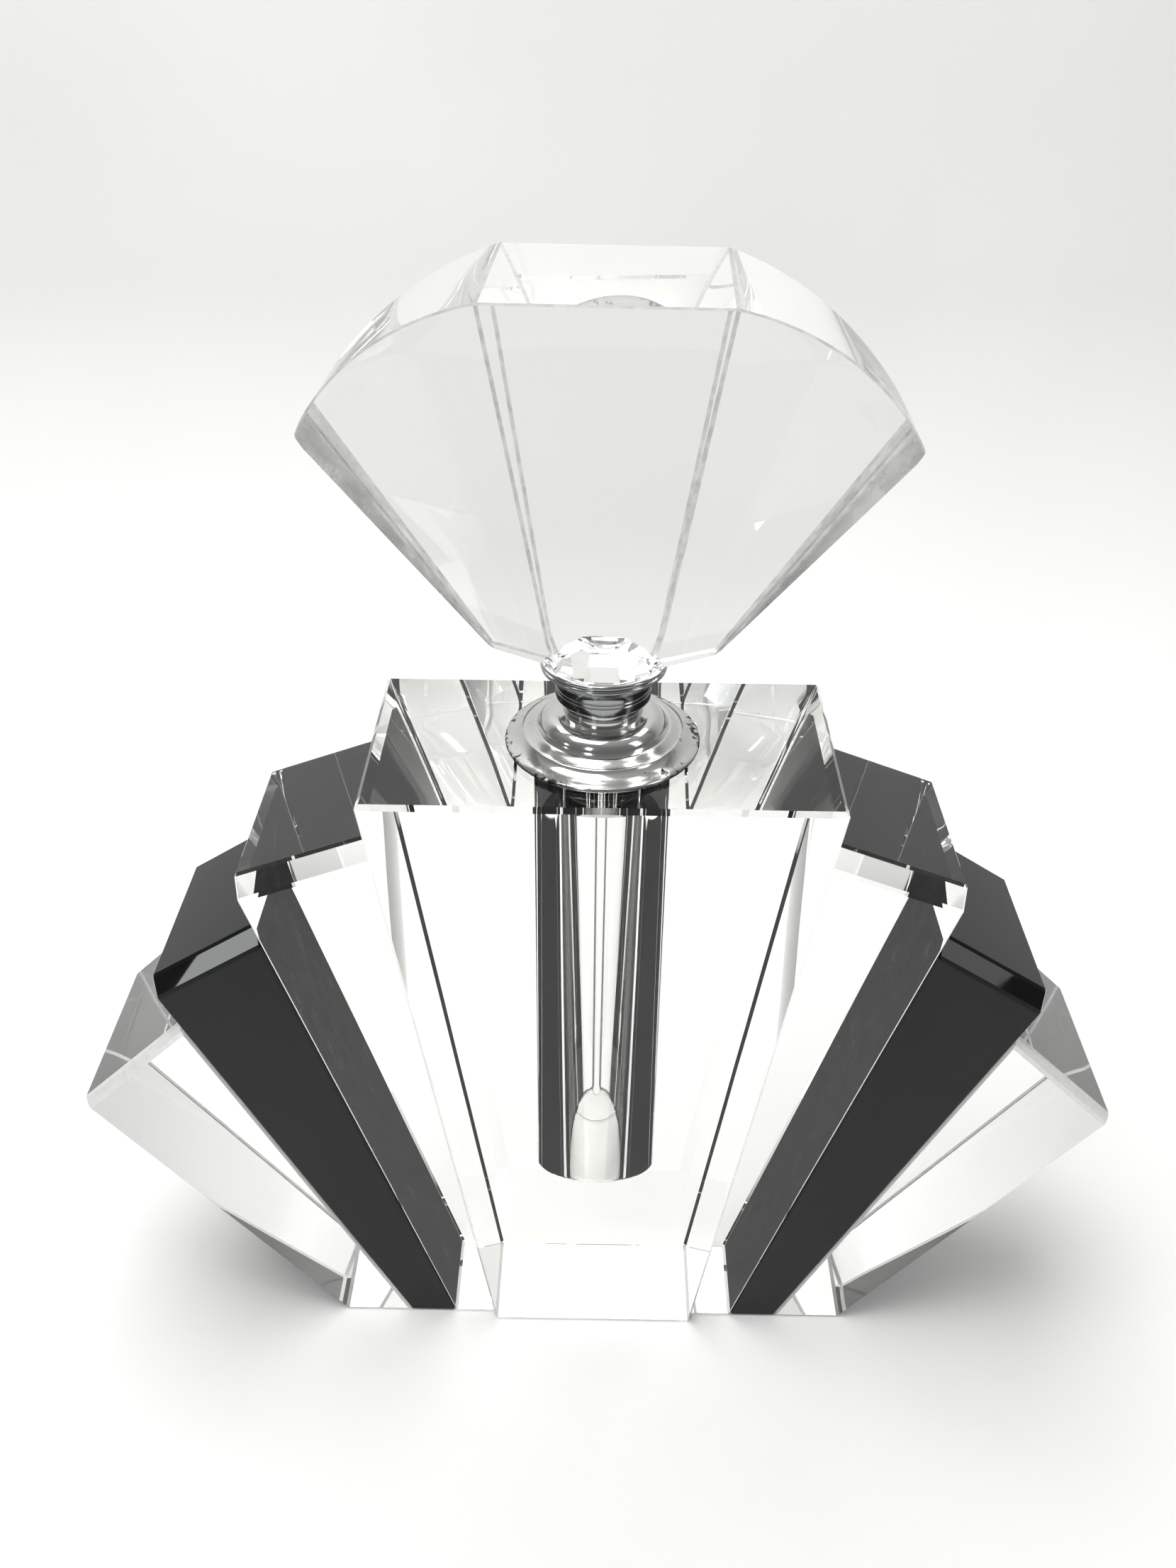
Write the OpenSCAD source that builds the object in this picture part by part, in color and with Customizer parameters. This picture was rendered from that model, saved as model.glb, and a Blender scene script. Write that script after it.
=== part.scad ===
// Crystal scent bottle: a fan of seven glued glass blocks round a drilled well, with a
// chrome collar and a screw-in crystal fan stopper that carries a glass dauber rod.
// Millimetres. +Z is up, +X is to the right, the front faces -Y, and the origin is on the
// table under the middle of the centre block.

/* [Centre block] */
// Height of the centre block
block_h = 90; // [84:0.5:100]
// Width of the centre block at its top
block_top_w = 53.6; // [50:0.2:60]
// Width of the centre block at its foot
block_foot_w = 27.8; // [25:0.2:30]
// Depth of the centre block, front to back
block_d = 28; // [27:0.5:36]

/* [Wings] */
// Depth of the wings, front to back
wing_d = 25.6; // [20:0.2:26]
// Bevel along the end cuts of the inner wings
inner_bevel = 2.2; // [0.5:0.1:3]
// Bevel along the end cuts of the black wings
black_bevel = 2.0; // [0.5:0.1:3]
// Bevel along the end cuts of the outer wings
outer_bevel = 1.0; // [0.5:0.1:3]

/* [Well] */
// Diameter of the well drilled in the centre block
well_dia = 16; // [15.6:0.1:17]
// Glass left under the well
well_floor = 26; // [20:0.5:30]

/* [Collar and stopper] */
// Diameter of the collar's flange
flange_dia = 22.4; // [20:0.2:24]
// Diameter of the collar's neck
neck_dia = 9.4; // [9:0.1:10]
// Diameter of the cup's body, under its flare
cup_body_dia = 10.8; // [10.2:0.1:11.4]
// Diameter of the lip of the cup that holds the crystal fan
cup_dia = 14.2; // [14:0.1:16]
// Diameter of the dauber rod
rod_dia = 2.4; // [2:0.1:3]
// Gap between the tip of the dauber rod and the well's floor
rod_tip_gap = 8.3; // [4:0.1:20]
// Half thickness of the fan at its top edge
fan_top_half = 11.1; // [9:0.1:12]
// Turn of the fan from square when the stopper is tight, in degrees
fan_rest_turn = -2; // [-45:1:45]

/* [Hidden] */
round_fn = 96;
over = 1;

// Wings, right-hand side: [x, z] points of the feet and tips. Each wing leans on the wing
// before it, and its end cut starts part of the way up that neighbour.
foot_x = [block_foot_w / 2, 19.8, 26.2, 35.5];
tip = [[block_top_w / 2, block_h], [42, 77.8], [54, 62.1], [65.7, 41.9]];
reach = [0, 0.931, 0.9125, 0.898];

// Well
well_r = well_dia / 2;
well_corner = 0.8;

// Collar, with its heights counted from the top face of the block
flange_r = flange_dia / 2;
rim_edge_r = 0.35;
rim_gap = 0.2;
neck_r = neck_dia / 2;
neck_foot = block_h + 4.2;
neck_top = block_h + 6;
neck_bore_r = 3.3;
sleeve_r = well_r - 0.1;
sleeve_in_r = 6.6;
sleeve_len = 3.5;

// Stopper metalwork
spigot_clear = 0.06;
spigot_r = neck_bore_r - spigot_clear;
spigot_end = block_h + 2.8;
washer_t = 0.3;
cup_z = neck_top + washer_t;
cup_body_r = cup_body_dia / 2;
cup_r = cup_dia / 2;
seat_floor_r = 4.8;
seat_floor_z = block_h + 9.2;
seat_rim_r = 6.5;
seat_rim_z = block_h + 11.2;

// Dauber
rod_r = rod_dia / 2;
plug_r = 1.9;
plug_top = seat_floor_z - 0.5;
plug_lip_r = 2.8;
plug_lip_t = 0.8;
rod_top = plug_top - 0.5;
rod_tip = well_floor + rod_tip_gap;

// Crystal fan, right-hand half: [x, z, half thickness] of the corners of its front panels
fan_top_x = 11.6;
fan_top_z = 142.2;
fan_arc_r = 31.7;
fan_arc_start = 75;
fan_arc_end = 27;
fan_arc_steps = 24;
fan_arc_centre = [fan_top_x - fan_arc_r * cos(fan_arc_start), fan_top_z - fan_arc_r * sin(fan_arc_start)];
ridge_top = [fan_top_x, fan_top_z, fan_top_half];
ridge_foot = [6, 104.4, 3.6];
shoulder_angle = 35;
shoulder_half = 4.8;
girdle_half = 1.5;
girdle_low = [31.1, 124.75];
girdle_foot = [12.7, 103];
fan_foot = [12.1, 102.65];
fan_keel = [5, 100.9, 2.8];
boss_top_z = 103.8;
boss_top_r = 4.4;
boss_sides = 10;

module part_colour(name) {
    if (name == "clear") color([0.86, 0.90, 0.90, 0.45]) children();
    if (name == "black") color([0.06, 0.06, 0.07]) children();
    if (name == "chrome") color([0.72, 0.73, 0.74]) children();
    if (name == "plastic") color([0.90, 0.90, 0.86]) children();
}

// A prism of the outline, standing in XZ and centred on Y
module glass_prism(outline, depth) {
    rotate([90, 0, 0])
        linear_extrude(height = depth, center = true)
            polygon(outline);
}

// Bars that bevel the front and back edges of an end cut from point a to point b
module end_bevels(a, b, depth, leg) {
    run = norm(b - a);
    slope = atan2(b[1] - a[1], b[0] - a[0]);
    bar = 4 * leg;
    bar_centre = bar / 2 - leg / sqrt(2);
    translate([a[0], 0, a[1]])
        rotate([0, -slope, 0])
            for (face = [-1, 1])
                translate([run / 2, face * depth / 2, 0])
                    rotate([-45 * face, 0, 0])
                        translate([0, 0, bar_centre])
                            cube([run + 2 * leg, bar, bar], center = true);
}

function part_way(a, b, t) = a + (b - a) * t;
function wing_root(i) = part_way([foot_x[i - 1], 0], tip[i - 1], reach[i]);

// Wing i on the right-hand side: 1 is the inner wing, 3 the outer one
module wing(i, bevel) {
    root = wing_root(i);
    difference() {
        glass_prism([[foot_x[i - 1], 0], [foot_x[i], 0], tip[i], root], wing_d);
        end_bevels(root, tip[i], wing_d, bevel);
    }
}

module centre_block() {
    half_top = block_top_w / 2;
    half_foot = block_foot_w / 2;
    part_colour("clear")
        difference() {
            glass_prism([[-half_foot, 0], [half_foot, 0], [half_top, block_h], [-half_top, block_h]],
                block_d);
            rotate_extrude($fn = round_fn)
                polygon([[0, well_floor], [well_r - well_corner, well_floor],
                    [well_r, well_floor + well_corner], [well_r, block_h + over], [0, block_h + over]]);
        }
}

module inner_wing_right() { part_colour("clear") wing(1, inner_bevel); }
module black_wing_right() { part_colour("black") wing(2, black_bevel); }
module outer_wing_right() { part_colour("clear") wing(3, outer_bevel); }
module inner_wing_left() { mirror([1, 0, 0]) inner_wing_right(); }
module black_wing_left() { mirror([1, 0, 0]) black_wing_right(); }
module outer_wing_left() { mirror([1, 0, 0]) outer_wing_right(); }

function arc(centre, r, from, to, steps) =
    [for (i = [0 : steps]) let (a = from + (to - from) * i / steps) centre + r * [cos(a), sin(a)]];

// Bell-shaped chrome collar, glued to the block with a sleeve down into the well's mouth
module collar() {
    sleeve = [[sleeve_r, block_h - sleeve_len], [sleeve_r, block_h]];
    foot = [[flange_r - 2, block_h], [flange_r - 1.2, block_h + rim_gap]];
    rim = arc([flange_r - rim_edge_r, block_h + rim_gap + rim_edge_r], rim_edge_r, -90, 70, 6);
    skirt = [[flange_r - 1.2, block_h + 1.15], [flange_r - 2.1, block_h + 1.7]];
    fillet = [[flange_r - 2.4, block_h + 1.95], [flange_r - 3.1, block_h + 2.3]];
    ledge = [[flange_r - 3.65, block_h + 2.45], [flange_r - 3.8, block_h + 2.7]];
    shoulder = arc([neck_r + 0.7, block_h + 2.3], 1.9, 15, 95, 6);
    neck = [[neck_r - 0.15, neck_foot + 0.1], [neck_r, neck_top - 0.3], [neck_r, neck_top]];
    bore = [[neck_bore_r, neck_top], [neck_bore_r, block_h + 2], [sleeve_in_r, block_h + 1],
        [sleeve_in_r, block_h - sleeve_len]];
    part_colour("chrome")
        rotate_extrude($fn = round_fn)
            polygon(concat(sleeve, foot, rim, skirt, fillet, ledge, shoulder, neck, bore));
}

module sealing_washer() {
    part_colour("plastic")
        translate([0, 0, neck_top])
            difference() {
                cylinder(h = washer_t, r = neck_r - 0.1, $fn = round_fn);
                translate([0, 0, -over])
                    cylinder(h = washer_t + 2 * over, r = neck_bore_r + 0.02, $fn = round_fn);
            }
}

// Chrome cup that holds the crystal fan, with the spigot that screws into the collar
module stopper_cup() {
    spigot = [[plug_r, spigot_end], [spigot_r - 0.3, spigot_end], [spigot_r, spigot_end + 0.3],
        [spigot_r, cup_z]];
    body = [[cup_body_r - 0.2, cup_z], [cup_body_r, cup_z + 0.2], [cup_body_r, cup_z + 2]];
    flare = [[cup_body_r + 0.2, cup_z + 2.6], [cup_body_r + 0.7, cup_z + 3.2],
        [cup_r - 0.4, cup_z + 3.7]];
    lip = concat(arc([cup_r - 0.3, cup_z + 4.1], 0.3, -60, 0, 4),
        arc([cup_r - 0.3, seat_rim_z - 0.3], 0.3, 0, 90, 4));
    seat = [[seat_rim_r, seat_rim_z], [seat_floor_r, seat_floor_z], [0, seat_floor_z],
        [0, plug_top], [plug_r, plug_top]];
    part_colour("chrome")
        rotate_extrude($fn = round_fn)
            polygon(concat(spigot, body, flare, lip, seat));
}

// Plastic plug in the spigot that grips the rod
module rod_plug() {
    part_colour("plastic")
        rotate_extrude($fn = round_fn)
            polygon([[rod_r, spigot_end - plug_lip_t], [plug_lip_r, spigot_end - plug_lip_t],
                [plug_lip_r, spigot_end], [plug_r, spigot_end], [plug_r, plug_top], [0, plug_top],
                [0, rod_top], [rod_r, rod_top]]);
}

module dauber_rod() {
    part_colour("clear")
        rotate_extrude($fn = round_fn)
            polygon(concat(arc([0, rod_tip + rod_r], rod_r, -90, 0, 8),
                [[rod_r, rod_top], [0, rod_top]]));
}

// Half thickness at [x, z] on the flat through three [x, z, half thickness] corners
function half_on(a, b, c, p) =
    let (n = cross(b - a, c - a)) a[2] - (p - [a[0], a[1]]) * [n[0], n[1]] / n[2];

function arc_corner(a, half) =
    [fan_arc_centre[0] + fan_arc_r * cos(a), fan_arc_centre[1] + fan_arc_r * sin(a), half];
function panel_half(p) = half_on(ridge_top, ridge_foot, arc_corner(shoulder_angle, shoulder_half), p);
function bevel_half(p) = half_on(arc_corner(shoulder_angle, shoulder_half),
    arc_corner(fan_arc_end, girdle_half), concat(fan_foot, panel_half(fan_foot)), p);

// Corners of the fan, each repeated on the left and right and at the front and back: side
// panels run from the ridges to the bevels, and the bevels down to a narrow flat girdle
function fan_corners() =
    let (rim = arc(fan_arc_centre, fan_arc_r, fan_arc_start, fan_arc_end, fan_arc_steps),
        edge = concat(rim, [girdle_low, girdle_foot, fan_foot]),
        flats = [for (p = edge) [p[0], p[1], min(panel_half(p), bevel_half(p))]],
        all = concat(flats, [ridge_foot, fan_keel]))
    [for (p = all, sx = [-1, 1], sy = [-1, 1]) [sx * p[0], sy * p[2], p[1]]];

module crystal_fan() {
    corners = fan_corners();
    part_colour("clear")
        rotate([0, 0, fan_rest_turn])
            union() {
                hull()
                    polyhedron(points = corners,
                        faces = [for (i = [0 : len(corners) - 3]) [i, i + 1, i + 2]]);
                translate([0, 0, seat_rim_z])
                    cylinder(h = boss_top_z - seat_rim_z, r1 = seat_rim_r, r2 = boss_top_r,
                        $fn = boss_sides);
                translate([0, 0, seat_floor_z])
                    cylinder(h = seat_rim_z - seat_floor_z, r1 = seat_floor_r, r2 = seat_rim_r,
                        $fn = round_fn);
            }
}

centre_block();
inner_wing_left();
inner_wing_right();
black_wing_left();
black_wing_right();
outer_wing_left();
outer_wing_right();
collar();
sealing_washer();
stopper_cup();
rod_plug();
dauber_rod();
crystal_fan();
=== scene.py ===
"""A crystal scent bottle: seven glued glass blocks, a chrome collar, and a stopper with a crystal
fan and a glass rod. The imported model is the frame. Every block is rebuilt from its CAD node's own
corners with ground edges, and the faces that are glued together carry a thin film of glue."""

import math

import bmesh
import bpy
from mathutils import Matrix, Vector


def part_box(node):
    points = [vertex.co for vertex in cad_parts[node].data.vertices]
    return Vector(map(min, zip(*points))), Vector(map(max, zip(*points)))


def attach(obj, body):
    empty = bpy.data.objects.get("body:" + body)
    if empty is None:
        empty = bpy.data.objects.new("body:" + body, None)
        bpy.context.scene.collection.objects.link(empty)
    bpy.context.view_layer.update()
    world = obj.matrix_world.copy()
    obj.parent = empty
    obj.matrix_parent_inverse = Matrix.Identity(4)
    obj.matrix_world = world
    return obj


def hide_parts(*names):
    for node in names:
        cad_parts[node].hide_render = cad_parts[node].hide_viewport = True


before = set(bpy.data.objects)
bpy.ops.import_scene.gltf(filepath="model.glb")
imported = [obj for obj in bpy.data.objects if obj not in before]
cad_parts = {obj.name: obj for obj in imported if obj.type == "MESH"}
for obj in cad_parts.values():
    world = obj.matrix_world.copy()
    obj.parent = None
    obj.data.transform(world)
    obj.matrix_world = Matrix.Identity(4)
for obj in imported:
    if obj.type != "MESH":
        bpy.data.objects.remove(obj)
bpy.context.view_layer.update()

MM = 0.001

# Refractive indexes: the glass, and the glue between the centre block and an inner wing, between
# an inner and a black wing, and between a black and an outer wing
GLASS_IOR = 1.52
CENTRE_GLUE_IOR = 1.49
INNER_GLUE_IOR = 1.516
OUTER_GLUE_IOR = 1.37

# How far a film of glue leans its face's normal: only the centre block's films are uneven
CENTRE_GLUE_LEAN = (0, -0.055, 0)
NO_LEAN = (0, 0, 0)

# Colours of the clear glass and of the chrome plate. The cup's plate is
# the collar's chrome made darker: painted shade.
BLOCK_TINT = (0.986, 0.988, 0.974)
FAN_TINT = (0.943, 0.947, 0.932)
ROD_TINT = (0.98, 0.99, 0.99)
COLLAR_PLATE = (0.58, 0.58, 0.57)
CUP_PLATE_PAINTED_SHADE = (0.33, 0.335, 0.34)

# Camera: its lens and sensor in millimetres
CAMERA_PLACE = Vector((-0.63, -134.5, 176.1)) * MM
CAMERA_PITCH = math.radians(34.44)
CAMERA_YAW = math.radians(-0.42)
CAMERA_ROLL = math.radians(-0.64)
CAMERA_LENS = 31.74
CAMERA_SENSOR = 36

# Ground edges: how far each chamfer cuts back from its edge
EDGE_CUT = 0.3 * MM
TOP_EDGE_CUT = 0.55 * MM
FAN_EDGE_CUT = 0.25 * MM

# Material slots. Slot 0 is a block's own crystal, and JOINT_SLOT a face glued black to clear. Slot
# 2 is a face glued clear to clear, or an outer wing's frosted chamfers and bevels. The fan has
# slots for its ground edges and its satin sides, both tinted dark with painted shade. SAME_SLOT
# keeps the slot of the faces beside.
JOINT_SLOT = 1
GLUE_SLOT = 2
FROSTED_SLOT = 2
GROUND_EDGE_SHADE_SLOT = 1
SATIN_SHADE_SLOT = 2
SAME_SLOT = -1

# Edges sharper than SHARP_ANGLE are cut on the crystal pieces, and stay sharp in their shading.
# The others say the same of the shading of the round pieces.
SHARP_ANGLE = math.radians(6)
CHROME_SMOOTH = math.radians(28)
PLASTIC_SMOOTH = math.radians(32)
ROD_SMOOTH = math.radians(40)

# Lengths that count as nothing: on the axis, at the same height, and the same corner
AXIS_REACH = 1e-7
LEVEL_REACH = 0.1 * MM
CORNER_REACH = 0.01 * MM

# Glue, the well, the fan's seat and its slight turn
GLUE_GAP = 0.02 * MM
WELL_CORNER = 0.8 * MM
WELL_COUNTERSINK = 0.3 * MM
SEAT_CLEARANCE = 0.04 * MM
FAN_TURN = math.radians(-2)
ROUND_STEPS = 128

# The blocks, and which of them are glued face to face, from the centre outwards
CLEAR_BLOCKS = (
    "centre_block",
    "inner_wing_left",
    "inner_wing_right",
    "outer_wing_left",
    "outer_wing_right",
)
BLACK_BLOCKS = ("black_wing_left", "black_wing_right")
OUTER_BLOCKS = ("outer_wing_left", "outer_wing_right")
GLUED_PAIRS = [("centre_block", f"inner_wing_{side}") for side in ("left", "right")]
GLUED_PAIRS += [(f"inner_wing_{side}", f"black_wing_{side}") for side in ("left", "right")]
GLUED_PAIRS += [(f"black_wing_{side}", f"outer_wing_{side}") for side in ("left", "right")]


# ---------------------------------------------------------------- camera, stage and lights


def make_camera():
    """The camera: in front of the bottle and a little above it, looking down."""
    data = bpy.data.cameras.new("camera")
    data.lens = CAMERA_LENS
    data.sensor_width = CAMERA_SENSOR
    data.clip_start = 0.005
    camera = bpy.data.objects.new("camera", data)
    bpy.context.scene.collection.objects.link(camera)
    forward = Vector(
        (
            math.sin(CAMERA_YAW) * math.cos(CAMERA_PITCH),
            math.cos(CAMERA_YAW) * math.cos(CAMERA_PITCH),
            -math.sin(CAMERA_PITCH),
        )
    )
    level_right = Vector((math.cos(CAMERA_YAW), -math.sin(CAMERA_YAW), 0))
    level_down = forward.cross(level_right)
    right = math.cos(CAMERA_ROLL) * level_right + math.sin(CAMERA_ROLL) * level_down
    down = -math.sin(CAMERA_ROLL) * level_right + math.cos(CAMERA_ROLL) * level_down
    turn = Matrix((right, -down, -forward)).transposed().to_4x4()
    camera.matrix_world = Matrix.Translation(CAMERA_PLACE) @ turn
    bpy.context.scene.camera = camera


def link_mesh(name, mesh):
    piece = bpy.data.objects.new(name, mesh)
    bpy.context.scene.collection.objects.link(piece)
    return piece


def make_sweep():
    """A pale sheet that runs along the table and rises in a curve behind the bottle."""
    table_z = -0.1 * MM
    front, back, bend, height, half_width = -1.2, 0.17, 0.09, 1.4, 1.6
    rise = 80
    profile = [(front, table_z)] + arc((back, table_z + bend), bend, -90, rise - 90, 16)
    y, z = profile[-1]
    profile.append((y + height / math.tan(math.radians(rise)), z + height))
    bm = bmesh.new()
    rows = [[bm.verts.new((x, y, z)) for y, z in profile] for x in (-half_width, half_width)]
    for left, right in zip(zip(rows[0], rows[0][1:]), zip(rows[1], rows[1][1:])):
        bm.faces.new((left[0], right[0], right[1], left[1]))
    mesh = bpy.data.meshes.new("sweep")
    bm.to_mesh(mesh)
    mesh.shade_smooth()
    sweep = link_mesh("sweep", mesh)
    sweep.data.materials.append(sweep_material())


def sweep_material():
    """Pale cloth with a faint unevenness and weave."""
    mat, nodes, links, shader = new_material("sweep")
    shader.inputs["Roughness"].default_value = 0.8
    shader.inputs["Specular IOR Level"].default_value = 0.2
    place = nodes.new("ShaderNodeTexCoord")
    folds = noise(nodes, links, place.outputs["Object"], scale=7, detail=2)
    tint = ramp(nodes, links, folds, (0.3, (0.80, 0.80, 0.79)), (0.7, (0.86, 0.86, 0.845)))
    links.new(tint, shader.inputs["Base Color"])
    weave = noise(nodes, links, place.outputs["Object"], scale=900, detail=1)
    bump(nodes, links, shader, weave, strength=0.1, distance=0.1 * MM)
    return mat


def make_area(name, place, target, size, power, colour=(1, 1, 1)):
    """A soft lamp at a place in metres that faces its target, with its power in watts."""
    data = bpy.data.lights.new(name, "AREA")
    data.shape = "RECTANGLE"
    data.size, data.size_y = size
    data.energy = power
    data.color = colour
    lamp = bpy.data.objects.new(name, data)
    bpy.context.scene.collection.objects.link(lamp)
    lamp.visible_camera = False
    lamp.location = place
    lamp.rotation_euler = (Vector(target) - Vector(place)).to_track_quat("-Z", "Y").to_euler()


def make_lights():
    """A soft ceiling panel, two cool windows at the left and a strip at the right."""
    make_area("ceiling_panel", (-0.15, 0.05, 0.75), (0, 0, 0.05), size=(0.7, 0.5), power=5.6)
    make_area(
        "window", (-0.28, -0.62, 0.42), (0, 0, 0.08),
        size=(0.1, 0.2), power=0.46, colour=(0.9, 0.96, 1),
    )
    make_area(
        "small_window", (-0.57, -0.27, 0.245), (-0.05, 0, 0.06),
        size=(0.045, 0.07), power=0.11, colour=(0.95, 1, 0.97),
    )
    make_area("side_strip", (0.75, -0.35, 0.55), (0, 0, 0.08), size=(0.2, 0.5), power=0.92)


def make_world():
    """A bright ceiling that falls off to a dim room, dimmest low down in front of the bottle."""
    world = bpy.data.worlds.new("studio")
    bpy.context.scene.world = world
    world.use_nodes = True
    nodes, links = world.node_tree.nodes, world.node_tree.links
    sky = nodes["Background"]
    place = nodes.new("ShaderNodeTexCoord")
    lift = nodes.new("ShaderNodeVectorMath")
    lift.operation = "DOT_PRODUCT"
    lift.inputs[1].default_value = (0, 0.35, 1)
    links.new(place.outputs["Generated"], lift.inputs[0])
    height = remap(nodes, links, lift.outputs["Value"], -0.35, 1, 0, 1)
    tint = ramp(
        nodes, links, height,
        (0.0, (0.48, 0.48, 0.48)), (0.3, (0.53, 0.53, 0.53)), (0.55, (0.66, 0.66, 0.655)),
        (0.9, (1.3, 1.3, 1.3)),
    )
    links.new(tint, sky.inputs["Color"])
    sky.inputs["Strength"].default_value = 0.40


# ---------------------------------------------------------------- materials


def new_material(name):
    mat = bpy.data.materials.new(name)
    mat.use_nodes = True
    nodes, links = mat.node_tree.nodes, mat.node_tree.links
    return mat, nodes, links, nodes["Principled BSDF"]


def noise(nodes, links, vector, scale, detail=3, roughness=0.5):
    node = nodes.new("ShaderNodeTexNoise")
    node.inputs["Scale"].default_value = scale
    node.inputs["Detail"].default_value = detail
    node.inputs["Roughness"].default_value = roughness
    links.new(vector, node.inputs["Vector"])
    return node.outputs["Fac"]


def ramp(nodes, links, value, *stops):
    """A colour ramp from (place, colour) stops."""
    node = nodes.new("ShaderNodeValToRGB")
    links.new(value, node.inputs["Fac"])
    row = node.color_ramp.elements
    while len(row) < len(stops):
        row.new(0.5)
    for element, (place, colour) in zip(row, stops):
        element.position = place
        element.color = (*colour, 1)
    return node.outputs["Color"]


def remap(nodes, links, value, low, high, out_low, out_high):
    node = nodes.new("ShaderNodeMapRange")
    node.inputs["From Min"].default_value = low
    node.inputs["From Max"].default_value = high
    node.inputs["To Min"].default_value = out_low
    node.inputs["To Max"].default_value = out_high
    links.new(value, node.inputs["Value"])
    return node.outputs["Result"]


def bump(nodes, links, shader, height, strength, distance):
    node = nodes.new("ShaderNodeBump")
    node.inputs["Strength"].default_value = strength
    node.inputs["Distance"].default_value = distance
    links.new(height, node.inputs["Height"])
    links.new(node.outputs["Normal"], shader.inputs["Normal"])


def crystal_material(name, tint, wave):
    """Polished clear glass with the faint waviness of hand grinding."""
    mat, nodes, links, shader = new_material(name)
    shader.inputs["Base Color"].default_value = (*tint, 1)
    shader.inputs["Transmission Weight"].default_value = 1
    shader.inputs["IOR"].default_value = GLASS_IOR
    shader.inputs["Roughness"].default_value = 0
    place = nodes.new("ShaderNodeTexCoord")
    waves = noise(nodes, links, place.outputs["Object"], scale=45, detail=1)
    bump(nodes, links, shader, waves, strength=wave, distance=1 * MM)
    return mat


def cut_edge_painted_shade_material():
    """The satin line where two cut faces of the fan meet, tinted dark grey with painted shade
    so that it shows as a dark line.
    """
    mat, nodes, links, shader = new_material("cut_edge_painted_shade")
    shader.inputs["Transmission Weight"].default_value = 1
    shader.inputs["IOR"].default_value = GLASS_IOR
    place = nodes.new("ShaderNodeTexCoord")
    grain = noise(nodes, links, place.outputs["Object"], scale=700, detail=3)
    # The dark grey tint is painted shade along the fan's cut edges.
    tint = ramp(nodes, links, grain, (0.35, (0.30, 0.31, 0.31)), (0.65, (0.55, 0.56, 0.55)))
    links.new(tint, shader.inputs["Base Color"])
    links.new(remap(nodes, links, grain, 0.3, 0.7, 0.25, 0.5), shader.inputs["Roughness"])
    return mat


def frosted_edge_material():
    """A chamfer or bevel of an outer wing, left white by the grinding wheel."""
    mat, nodes, links, shader = new_material("frosted_edge")
    shader.inputs["Transmission Weight"].default_value = 0.35
    shader.inputs["IOR"].default_value = GLASS_IOR
    shader.inputs["Roughness"].default_value = 0.5
    place = nodes.new("ShaderNodeTexCoord")
    grain = noise(nodes, links, place.outputs["Object"], scale=900, detail=3)
    tint = ramp(nodes, links, grain, (0.35, (0.88, 0.88, 0.87)), (0.65, (0.97, 0.97, 0.96)))
    links.new(tint, shader.inputs["Base Color"])
    return mat


def satin_sides_painted_shade_material():
    """The fan's slanted sides, left cloudy by the grinding wheel and only partly polished. Their
    dark mottled tint is painted shade.
    """
    mat, nodes, links, shader = new_material("satin_sides_painted_shade")
    shader.inputs["Transmission Weight"].default_value = 1
    shader.inputs["IOR"].default_value = GLASS_IOR
    place = nodes.new("ShaderNodeTexCoord")
    cloud = noise(nodes, links, place.outputs["Object"], scale=170, detail=6, roughness=0.65)
    # The dark mottled tint is painted shade; the roughness below is the satin finish.
    tint = ramp(
        nodes, links, cloud,
        (0.32, (0.20, 0.205, 0.20)), (0.5, (0.42, 0.42, 0.41)), (0.68, (0.80, 0.80, 0.77)),
    )
    links.new(tint, shader.inputs["Base Color"])
    links.new(remap(nodes, links, cloud, 0.35, 0.65, 0.38, 0.12), shader.inputs["Roughness"])
    return mat


def glue_material(name, film_ior, lean):
    """Clear glass against a glue film, which bends light less than glass does, so that a grazing
    view is turned back. A film that is thicker along one side leans."""
    mat, nodes, links, shader = new_material(name)
    shader.inputs["Base Color"].default_value = (0.985, 0.985, 0.985, 1)
    shader.inputs["Transmission Weight"].default_value = 1
    shader.inputs["IOR"].default_value = GLASS_IOR / film_ior
    shader.inputs["Roughness"].default_value = 0
    face = nodes.new("ShaderNodeNewGeometry")
    leaned = nodes.new("ShaderNodeVectorMath")
    leaned.inputs[1].default_value = lean
    links.new(face.outputs["Normal"], leaned.inputs[0])
    unit = nodes.new("ShaderNodeVectorMath")
    unit.operation = "NORMALIZE"
    links.new(leaned.outputs[0], unit.inputs[0])
    links.new(unit.outputs[0], shader.inputs["Normal"])
    return mat


def black_crystal_material():
    """Polished black glass with faint smears."""
    mat, nodes, links, shader = new_material("black_crystal")
    shader.inputs["IOR"].default_value = GLASS_IOR
    shader.inputs["Specular IOR Level"].default_value = 0.26
    place = nodes.new("ShaderNodeTexCoord")
    body = noise(nodes, links, place.outputs["Object"], scale=120, detail=3)
    tint = ramp(nodes, links, body, (0.3, (0.002, 0.002, 0.003)), (0.75, (0.005, 0.005, 0.006)))
    links.new(tint, shader.inputs["Base Color"])
    smears = noise(nodes, links, place.outputs["Object"], scale=60, detail=5, roughness=0.65)
    links.new(remap(nodes, links, smears, 0.45, 0.75, 0.015, 0.11), shader.inputs["Roughness"])
    waves = noise(nodes, links, place.outputs["Object"], scale=45, detail=1)
    bump(nodes, links, shader, waves, strength=0.06, distance=1 * MM)
    return mat


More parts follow.
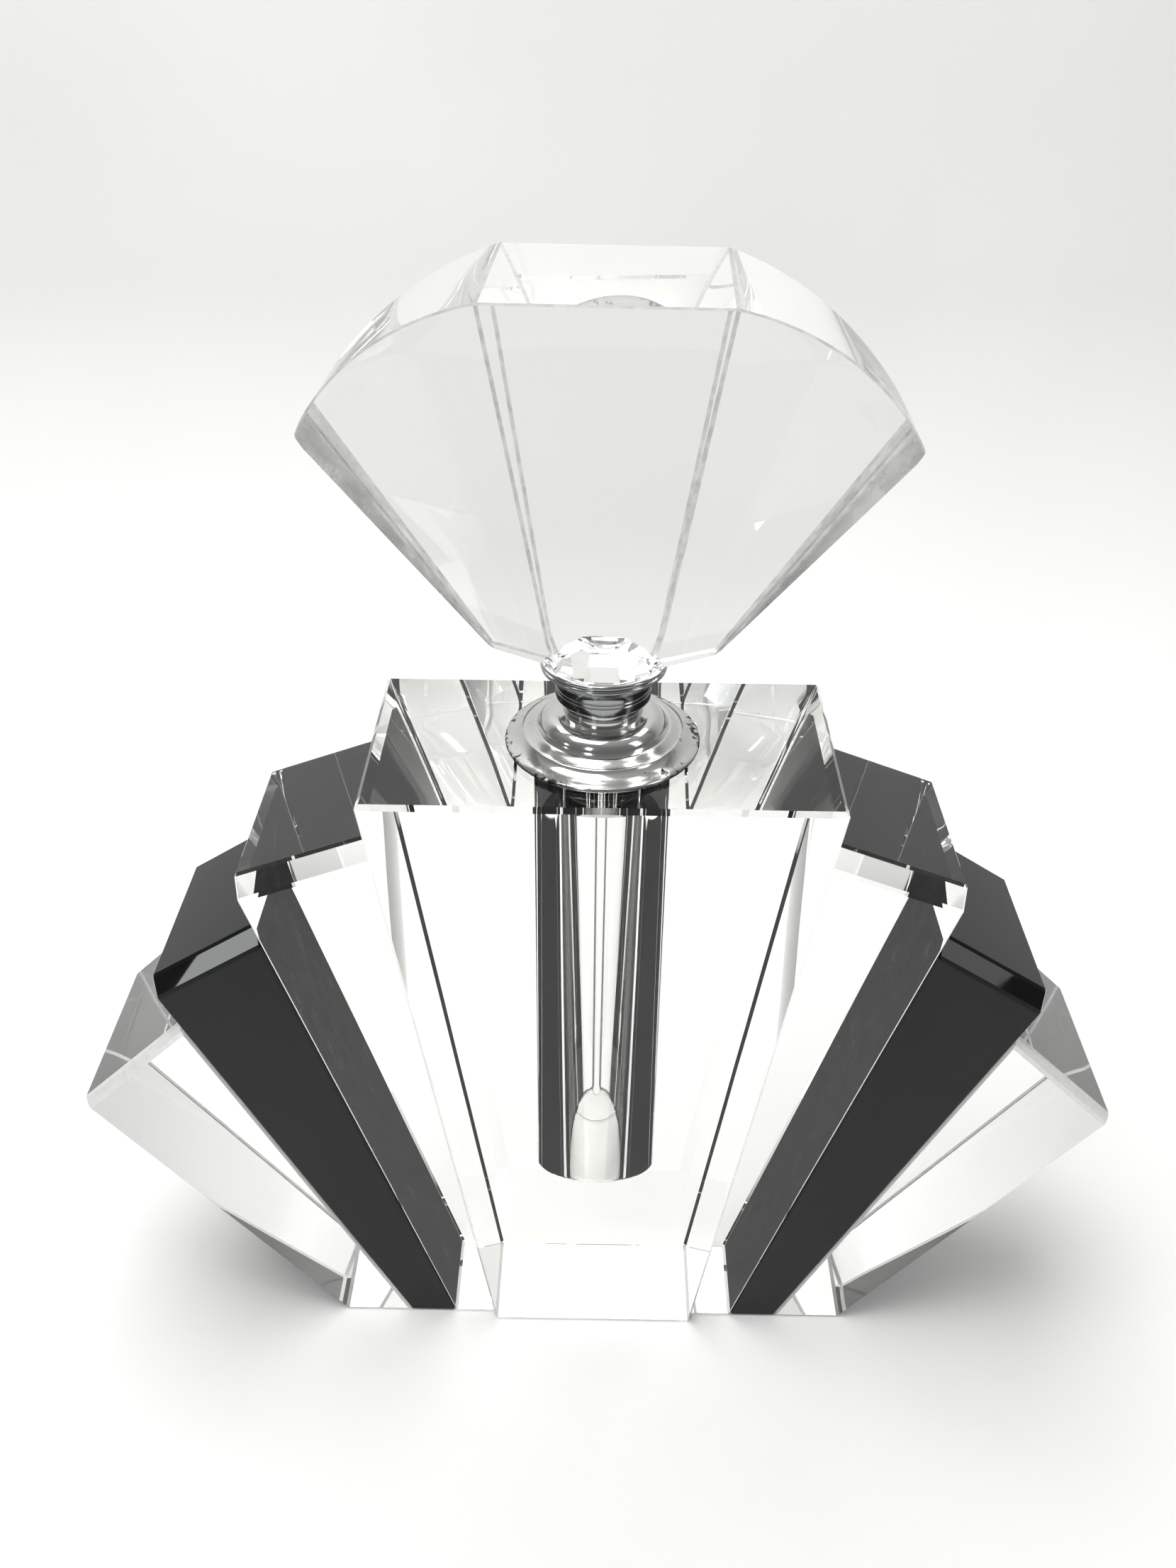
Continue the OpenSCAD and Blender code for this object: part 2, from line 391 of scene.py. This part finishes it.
def joint_material():
    """The glued face of black glass as it shows through a clear block: dark grey and mottled."""
    mat, nodes, links, shader = new_material("black_joint")
    shader.inputs["Roughness"].default_value = 0.75
    shader.inputs["Specular IOR Level"].default_value = 0.1
    place = nodes.new("ShaderNodeTexCoord")
    cloud = noise(nodes, links, place.outputs["Object"], scale=260, detail=6, roughness=0.7)
    tint = ramp(
        nodes, links, cloud,
        (0.35, (0.010, 0.010, 0.011)), (0.6, (0.022, 0.022, 0.023)), (0.78, (0.075, 0.075, 0.075)),
    )
    links.new(tint, shader.inputs["Base Color"])
    return mat


def chrome_material(name, plate):
    """Bright plate with fine polish marks, and dark worn specks towards the flange's rim."""
    wear_start, wear_end = 9.0 * MM, 11.1 * MM
    mat, nodes, links, shader = new_material(name)
    shader.inputs["Metallic"].default_value = 1
    place = nodes.new("ShaderNodeTexCoord")
    split = nodes.new("ShaderNodeSeparateXYZ")
    links.new(place.outputs["Object"], split.inputs[0])
    flat = nodes.new("ShaderNodeCombineXYZ")
    links.new(split.outputs["X"], flat.inputs["X"])
    links.new(split.outputs["Y"], flat.inputs["Y"])
    length = nodes.new("ShaderNodeVectorMath")
    length.operation = "LENGTH"
    links.new(flat.outputs[0], length.inputs[0])
    near_rim = remap(nodes, links, length.outputs["Value"], wear_start, wear_end, -0.13, 0.085)
    specks = noise(nodes, links, place.outputs["Object"], scale=1400, detail=4, roughness=0.6)
    patches = noise(nodes, links, place.outputs["Object"], scale=230, detail=2)
    more_at_rim = nodes.new("ShaderNodeMath")
    links.new(specks, more_at_rim.inputs[0])
    links.new(near_rim, more_at_rim.inputs[1])
    in_patches = nodes.new("ShaderNodeMath")
    in_patches.operation = "MULTIPLY"
    links.new(more_at_rim.outputs[0], in_patches.inputs[0])
    links.new(remap(nodes, links, patches, 0.35, 0.6, 0.75, 1.08), in_patches.inputs[1])
    worn = remap(nodes, links, in_patches.outputs[0], 0.56, 0.66, 0, 1)
    tint = ramp(nodes, links, worn, (0.0, plate), (1.0, (0.05, 0.04, 0.03)))
    links.new(tint, shader.inputs["Base Color"])
    links.new(remap(nodes, links, worn, 0, 1, 0.13, 0.5), shader.inputs["Roughness"])
    marks = noise(nodes, links, place.outputs["Object"], scale=500, detail=4)
    bump(nodes, links, shader, marks, strength=0.08, distance=0.05 * MM)
    return mat


def plastic_material():
    """The milky plastic of the washer and the plug."""
    mat, nodes, links, shader = new_material("seal_plastic")
    shader.inputs["Subsurface Weight"].default_value = 0.2
    shader.inputs["Subsurface Scale"].default_value = 0.5 * MM
    place = nodes.new("ShaderNodeTexCoord")
    grain = noise(nodes, links, place.outputs["Object"], scale=900, detail=4)
    tint = ramp(nodes, links, grain, (0.3, (0.72, 0.72, 0.68)), (0.7, (0.80, 0.80, 0.76)))
    links.new(tint, shader.inputs["Base Color"])
    links.new(remap(nodes, links, grain, 0.3, 0.7, 0.35, 0.5), shader.inputs["Roughness"])
    bump(nodes, links, shader, grain, strength=0.1, distance=0.05 * MM)
    return mat


# ---------------------------------------------------------------- blocks


def flat_faced_hull(points):
    """The closed solid round the points, with one face for each flat side."""
    bm = bmesh.new()
    for p in points:
        bm.verts.new(p)
    bmesh.ops.remove_doubles(bm, verts=bm.verts, dist=CORNER_REACH)
    made = bmesh.ops.convex_hull(bm, input=bm.verts)
    left_over = dict.fromkeys(made["geom_interior"] + made["geom_unused"])
    loose = [g for g in left_over if isinstance(g, bmesh.types.BMVert)]
    bmesh.ops.delete(bm, geom=loose, context="VERTS")
    flat_angle = math.radians(0.6)
    bmesh.ops.dissolve_limit(bm, angle_limit=flat_angle, verts=bm.verts, edges=bm.edges)
    bmesh.ops.recalc_face_normals(bm, faces=bm.faces)
    return bm


def cut_edges(bm, cut, chosen=lambda edge: True, slot_index=SAME_SLOT):
    """Cuts a chamfer along the chosen sharp edges, in the given material slot."""
    edges = [e for e in bm.edges if e.calc_face_angle(0) > SHARP_ANGLE and chosen(e)]
    bmesh.ops.bevel(
        bm, geom=edges, offset=cut, offset_type="OFFSET", segments=1, affect="EDGES",
        clamp_overlap=True, material=slot_index,
    )


def frost_bevels(bm):
    """Gives the faces that slant towards the front or back the frosted slot."""
    side_on, face_on = 0.1, 0.98
    for f in bm.faces:
        if side_on < abs(f.normal.y) < face_on:
            f.material_index = FROSTED_SLOT


def shaped_block(node):
    """A block's solid with its ground edges, from its CAD node's corners."""
    bm = flat_faced_hull([v.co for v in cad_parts[node].data.vertices])
    if node == "centre_block":
        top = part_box(node)[1].z
        cut_edges(bm, TOP_EDGE_CUT, lambda e: all(v.co.z > top - LEVEL_REACH for v in e.verts))
        cut_edges(bm, EDGE_CUT, lambda e: any(v.co.z < top / 2 for v in e.verts))
    elif node in OUTER_BLOCKS:
        cut_edges(bm, EDGE_CUT, slot_index=FROSTED_SLOT)
        frost_bevels(bm)
    else:
        cut_edges(bm, EDGE_CUT)
    bmesh.ops.recalc_face_normals(bm, faces=bm.faces)
    return bm


def leave_gap(bm, neighbour):
    """Draws the face glued to the neighbour back by the glue film's thickness."""
    for corners, normal in outlines(neighbour):
        for f in faces_against(bm, corners, normal):
            for v in f.verts:
                v.co -= f.normal * GLUE_GAP


def outlines(bm):
    """Each flat face as its corners and its normal."""
    return [([v.co.copy() for v in f.verts], f.normal.copy()) for f in bm.faces]


def faces_against(bm, corners, normal):
    """The faces that lie in the outline's plane and look the other way."""
    near = 3 * GLUE_GAP
    return [
        f for f in bm.faces
        if f.normal.dot(normal) < -0.9999
        and abs((f.calc_center_median() - corners[0]).dot(normal)) < near
    ]


def mark_glued(bm, corners, normal, slot_index):
    """Cuts the faces that meet the outline along its sides, and gives what lies in it the slot."""
    if not faces_against(bm, corners, normal):
        return
    cut_reach = 0.001 * MM
    sides = list(zip(corners, corners[1:] + corners[:1]))
    for a, b in sides:
        faces = faces_against(bm, corners, normal)
        edges = [e for f in faces for e in f.edges]
        verts = [v for f in faces for v in f.verts]
        geom = list(dict.fromkeys(faces + edges + verts))
        outwards = (b - a).cross(normal).normalized()
        bmesh.ops.bisect_plane(bm, geom=geom, plane_co=a, plane_no=outwards, dist=cut_reach)
    for f in faces_against(bm, corners, normal):
        middle = f.calc_center_median()
        if all((middle - a).dot((b - a).cross(normal)) < 0 for a, b in sides):
            f.material_index = slot_index


def finish_piece(name, bm, body, materials, node, smooth=SHARP_ANGLE):
    """Makes the solid a piece that rides on its body and stands for its CAD node."""
    mesh = bpy.data.meshes.new(name)
    bm.to_mesh(mesh)
    bm.free()
    mesh.shade_smooth()
    mesh.set_sharp_from_angle(angle=smooth)
    for mat in materials:
        mesh.materials.append(mat)
    piece = link_mesh(name, mesh)
    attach(piece, body)
    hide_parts(node)


def turned(profile, steps=ROUND_STEPS):
    """A closed solid turned about the Z axis from (radius, height) points that start and end on
    the axis, or that close on themselves."""
    bm = bmesh.new()
    rings = []
    for r, z in profile:
        if r < AXIS_REACH:
            rings.append([bm.verts.new((0, 0, z))])
        else:
            angles = [2 * math.pi * i / steps for i in range(steps)]
            rings.append([bm.verts.new((r * math.cos(a), r * math.sin(a), z)) for a in angles])
    on_axis = len(rings[0]) == 1
    pairs = list(zip(rings, rings[1:]))
    if not on_axis:
        pairs.append((rings[-1], rings[0]))
    for low, high in pairs:
        if len(low) == 1 and len(high) == 1:
            continue
        for i in range(steps):
            j = (i + 1) % steps
            ring = [low[i % len(low)], low[j % len(low)], high[j % len(high)], high[i % len(high)]]
            bm.faces.new(list(dict.fromkeys(ring)))
    bmesh.ops.recalc_face_normals(bm, faces=bm.faces)
    return bm


def joined(bm, other, operation):
    """bm with the other solid cut away or added."""
    pieces = []
    for part in (bm, other):
        mesh = bpy.data.meshes.new("work")
        part.to_mesh(mesh)
        part.free()
        pieces.append(link_mesh("work", mesh))
    modifier = pieces[0].modifiers.new("join", "BOOLEAN")
    modifier.operation = operation
    modifier.solver = "EXACT"
    modifier.object = pieces[1]
    seen = pieces[0].evaluated_get(bpy.context.evaluated_depsgraph_get())
    result = bmesh.new()
    result.from_mesh(seen.to_mesh())
    seen.to_mesh_clear()
    for piece in pieces:
        mesh = piece.data
        bpy.data.objects.remove(piece)
        bpy.data.meshes.remove(mesh)
    join_reach = 0.0005 * MM
    bmesh.ops.remove_doubles(result, verts=result.verts, dist=join_reach)
    return result


def arc(centre, r, start, end, steps):
    """Points on an arc, from start to end degrees."""
    angles = [math.radians(start + (end - start) * i / steps) for i in range(steps + 1)]
    return [(centre[0] + r * math.cos(a), centre[1] + r * math.sin(a)) for a in angles]


def well_size():
    """The well's radius and floor, from the centre block's CAD mesh."""
    reach = 10 * MM
    middle = [v.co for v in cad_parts["centre_block"].data.vertices
              if v.co.xy.length < reach and v.co.z > reach]
    return max(p.xy.length for p in middle), min(p.z for p in middle)


def well_solid():
    """The drilled well: rounded at its floor, countersunk at its mouth, and on past the top."""
    r, floor = well_size()
    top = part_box("centre_block")[1].z
    above = 1 * MM
    edge = arc((r - WELL_CORNER, floor + WELL_CORNER), WELL_CORNER, -90, 0, 8)
    mouth_r = r + WELL_COUNTERSINK + above
    mouth = [(r, top - WELL_COUNTERSINK), (mouth_r, top + above), (0, top + above)]
    return turned([(0, floor)] + edge + mouth)


def make_blocks(materials):
    """The seven blocks, a glue film's thickness apart, with the well drilled in the middle one."""
    shapes = {node: shaped_block(node) for node in CLEAR_BLOCKS + BLACK_BLOCKS}
    for inner, outer in GLUED_PAIRS:
        leave_gap(shapes[outer], shapes[inner])
    sides = {node: outlines(bm) for node, bm in shapes.items()}
    shapes["centre_block"] = joined(shapes["centre_block"], well_solid(), "DIFFERENCE")
    for pair in GLUED_PAIRS:
        slot_index = GLUE_SLOT if "centre_block" in pair else JOINT_SLOT
        for node, other in (pair, pair[::-1]):
            for corners, normal in sides[other]:
                mark_glued(shapes[node], corners, normal, slot_index)
    for node, bm in shapes.items():
        finish_piece(node + "_cut", bm, "bottle", materials[node], node)


def block_materials():
    """Each block's materials, in the order of its slots."""
    crystal = crystal_material("clear_crystal", BLOCK_TINT, wave=0.05)
    glue = glue_material("clear_glue", CENTRE_GLUE_IOR, CENTRE_GLUE_LEAN)
    inner_glue = glue_material("clear_glue_on_black", INNER_GLUE_IOR, NO_LEAN)
    outer_glue = glue_material("outer_glue_on_black", OUTER_GLUE_IOR, NO_LEAN)
    materials = {node: [crystal, inner_glue, glue] for node in CLEAR_BLOCKS}
    frosted = frosted_edge_material()
    materials.update({node: [crystal, outer_glue, frosted] for node in OUTER_BLOCKS})
    black = [black_crystal_material(), joint_material()]
    materials.update({node: black for node in BLACK_BLOCKS})
    return materials


# ---------------------------------------------------------------- collar and stopper


def make_collar(chrome):
    """The bell collar, from its sleeve and rolled rim up to the neck. Heights inside up() are in
    millimetres above the block."""
    low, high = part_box("collar")
    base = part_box("centre_block")[1].z
    rim_r = high.x
    top = high.z
    neck_r = 4.7 * MM
    bore_r = 3.3 * MM
    sleeve_r, sleeve_in = 7.9 * MM, 6.6 * MM
    edge = 0.15 * MM

    def up(r, z):
        return (r, base + z * MM)

    profile = [(sleeve_r, low.z), (sleeve_r, base), (rim_r - 2 * MM, base)]
    profile += arc(up(rim_r - 0.32 * MM, 0.52), 0.32 * MM, -100, 62, 10)
    profile += [up(rim_r - 0.7 * MM, 0.93), up(rim_r - 1.2 * MM, 1.16)]
    profile += [up(rim_r - 1.75 * MM, 1.46)]
    profile += arc(up(rim_r - 2.3 * MM, 1.62), 0.3 * MM, 30, 110, 6)
    profile += [up(rim_r - 2.6 * MM, 1.98), up(rim_r - 3.0 * MM, 2.24)]
    profile += arc(up(rim_r - 3.5 * MM, 2.68), 0.3 * MM, -60, -130, 5)[:-1]
    profile += arc(up(neck_r + 0.7 * MM, 2.3), 1.9 * MM, 14, 98, 16)
    profile += [up(neck_r - 0.16 * MM, 4.32), up(neck_r - 0.1 * MM, 4.9)]
    profile += [up(neck_r - 0.14 * MM, 5.02), up(neck_r - 0.14 * MM, 5.1)]
    profile += [up(neck_r - 0.06 * MM, 5.2)]
    profile += arc((neck_r - edge, top - edge), edge, 0, 90, 4)
    profile += [(bore_r + edge, top), (bore_r, top - edge), up(bore_r, 2.0)]
    profile += [up(sleeve_in, 1.0), (sleeve_in, low.z)]
    finish_piece("collar_turned", turned(profile), "bottle", [chrome], "collar",
                 CHROME_SMOOTH)


def make_cup(chrome):
    """The stopper's cup: spigot, grooved body, trumpet flare, double lip and the fan's seat.
    Heights inside up() are in millimetres above the washer."""
    low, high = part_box("stopper_cup")
    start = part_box("sealing_washer")[1].z
    cup_r = high.x
    lip_z = high.z
    body_r = 5.4 * MM
    spigot_r = 3.24 * MM
    hole_r = 1.9 * MM
    plug_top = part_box("rod_plug")[1].z
    seat_z, seat_r, seat_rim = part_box("crystal_fan")[0].z, 4.8 * MM, 6.5 * MM

    def up(r, z):
        return (r, start + z * MM)

    spigot_cut = 0.3 * MM
    profile = [(hole_r, low.z), (spigot_r - spigot_cut, low.z), (spigot_r, low.z + spigot_cut)]
    profile += [(spigot_r, start)]
    profile += arc(up(body_r - 0.22 * MM, 0.22), 0.22 * MM, -90, 0, 5)
    groove_r = body_r - 0.07 * MM
    for groove_z in (1.15, 1.6):
        profile += [up(body_r, groove_z - 0.12), up(groove_r, groove_z - 0.03)]
        profile += [up(groove_r, groove_z + 0.03), up(body_r, groove_z + 0.12)]
    profile += arc(up(body_r + 1.55 * MM, 2.05), 1.55 * MM, 180, 100, 14)
    profile += arc(up(cup_r - 0.28 * MM, 4.0), 0.28 * MM, -70, 50, 6)
    profile += [up(cup_r - 0.2 * MM, 4.3)]
    profile += arc((cup_r - 0.3 * MM, lip_z - 0.3 * MM), 0.3 * MM, -25, 90, 8)
    profile += [(seat_rim, lip_z), (seat_r, seat_z), (0, seat_z)]
    profile += [(0, plug_top), (hole_r, plug_top)]
    bm = turned_with_axis_gap(profile)
    finish_piece("stopper_cup_turned", bm, "stopper", [chrome], "stopper_cup",
                 CHROME_SMOOTH)


def turned_with_axis_gap(profile):
    """A turned solid whose outline meets the axis at two neighbouring points."""
    first = next(i for i, (r, _) in enumerate(profile) if r < AXIS_REACH)
    return turned(profile[first + 1:] + profile[:first + 1])


def make_rod(glass):
    """The dauber: a plain glass rod with a round tip."""
    low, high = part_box("dauber_rod")
    r = high.x
    profile = arc((0, low.z + r), r, -90, 0, 16) + [(r, high.z), (0, high.z)]
    profile[0] = (0, low.z)
    finish_piece("dauber_rod_drawn", turned(profile, 64), "stopper", [glass],
                 "dauber_rod", ROD_SMOOTH)


def make_plug(plastic):
    """The plug that holds the rod in the spigot: a body in the cup's hole, and a lip below it."""
    low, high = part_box("rod_plug")
    rod_r, rod_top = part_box("dauber_rod")[1].x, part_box("dauber_rod")[1].z
    lip_r = high.x
    body_r = lip_r - 0.9 * MM
    lip_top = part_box("stopper_cup")[0].z
    corner = 0.2 * MM
    profile = [(0, rod_top), (rod_r, rod_top), (rod_r, low.z)]
    profile += arc((lip_r - corner, low.z + corner), corner, -90, 0, 4)
    profile += [(lip_r, lip_top), (body_r, lip_top), (body_r, high.z), (0, high.z)]
    finish_piece("rod_plug_moulded", turned(profile, 96), "stopper", [plastic],
                 "rod_plug", PLASTIC_SMOOTH)


def make_washer(plastic):
    """The sealing washer, round at its rim."""
    low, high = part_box("sealing_washer")
    half = (high.z - low.z) / 2
    middle = (high.z + low.z) / 2
    hole_r = 3.32 * MM
    profile = arc((high.x - half, middle), half, -90, 90, 8) + [(hole_r, high.z), (hole_r, low.z)]
    finish_piece("sealing_washer_moulded", turned(profile), "seal", [plastic],
                 "sealing_washer", PLASTIC_SMOOTH)


def fan_boss(low_z, rim_z):
    """The fan's foot: a turned seat that stands just clear of the cup, and a cut cone above it."""
    seat_r, rim_r, top_r, top_z = 4.74 * MM, 6.44 * MM, 4.4 * MM, 103.8 * MM
    seat_z = low_z + SEAT_CLEARANCE
    seat = turned([(0, seat_z), (seat_r, seat_z), (rim_r, rim_z), (0, rim_z)], 120)
    facets = [math.radians(a) for a in range(0, 360, 36)]
    cone = [(r * math.cos(a), r * math.sin(a), z)
            for r, z in ((rim_r, rim_z), (top_r, top_z)) for a in facets]
    return seat, flat_faced_hull(cone)


def make_fan(crystal, ground, satin):
    """The crystal fan: its CAD corners with ground edges, joined to its cut foot."""
    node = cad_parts["crystal_fan"]
    low_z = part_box("crystal_fan")[0].z
    rim_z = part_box("stopper_cup")[1].z
    foot_r = 5 * MM
    keel_x, keel_y, keel_z = 5 * MM, 2.8 * MM, 100.9 * MM
    turn = Matrix.Rotation(FAN_TURN, 3, "Z")
    above_cup = [v.co for v in node.data.vertices if v.co.z > rim_z + LEVEL_REACH]
    corners = [p for p in above_cup if p.xy.length > foot_r]
    keel = [turn @ Vector((x, y, keel_z)) for x in (-keel_x, keel_x) for y in (-keel_y, keel_y)]
    body = flat_faced_hull(corners + keel)
    # The sides that look out and down take the satin band, darkened with painted shade.
    for f in body.faces:
        looks_out_and_down = abs(f.normal.x) > 0.4 and f.normal.z < -0.2
        if looks_out_and_down:
            f.material_index = SATIN_SHADE_SLOT
    # The cut edges take the dark ground-edge tint, which is painted shade.
    cut_edges(body, FAN_EDGE_CUT, slot_index=GROUND_EDGE_SHADE_SLOT)
    seat, cone = fan_boss(low_z, rim_z)
    bmesh.ops.rotate(cone, cent=(0, 0, 0), matrix=turn, verts=cone.verts)
    foot = joined(seat, cone, "UNION")
    finish_piece("crystal_fan_cut", joined(body, foot, "UNION"), "stopper",
                 [crystal, ground, satin], "crystal_fan")


# ---------------------------------------------------------------- the scene

make_camera()
make_world()
make_sweep()
make_lights()

plastic = plastic_material()
make_blocks(block_materials())
make_collar(chrome_material("chrome", COLLAR_PLATE))
# The cup takes a darker copy of the collar's chrome, as painted shade.
make_cup(chrome_material("cup_chrome_painted_shade", CUP_PLATE_PAINTED_SHADE))
make_rod(crystal_material("rod_glass", ROD_TINT, wave=0.03))
make_plug(plastic)
make_washer(plastic)
make_fan(
    crystal_material("fan_crystal", FAN_TINT, wave=0.04),
    cut_edge_painted_shade_material(),
    satin_sides_painted_shade_material(),
)

cycles = bpy.context.scene.cycles
cycles.max_bounces = 32
cycles.transmission_bounces = 28
cycles.glossy_bounces = 10
cycles.diffuse_bounces = 4
cycles.transparent_max_bounces = 32
cycles.blur_glossy = 0
bpy.context.scene.view_settings.view_transform = "Standard"
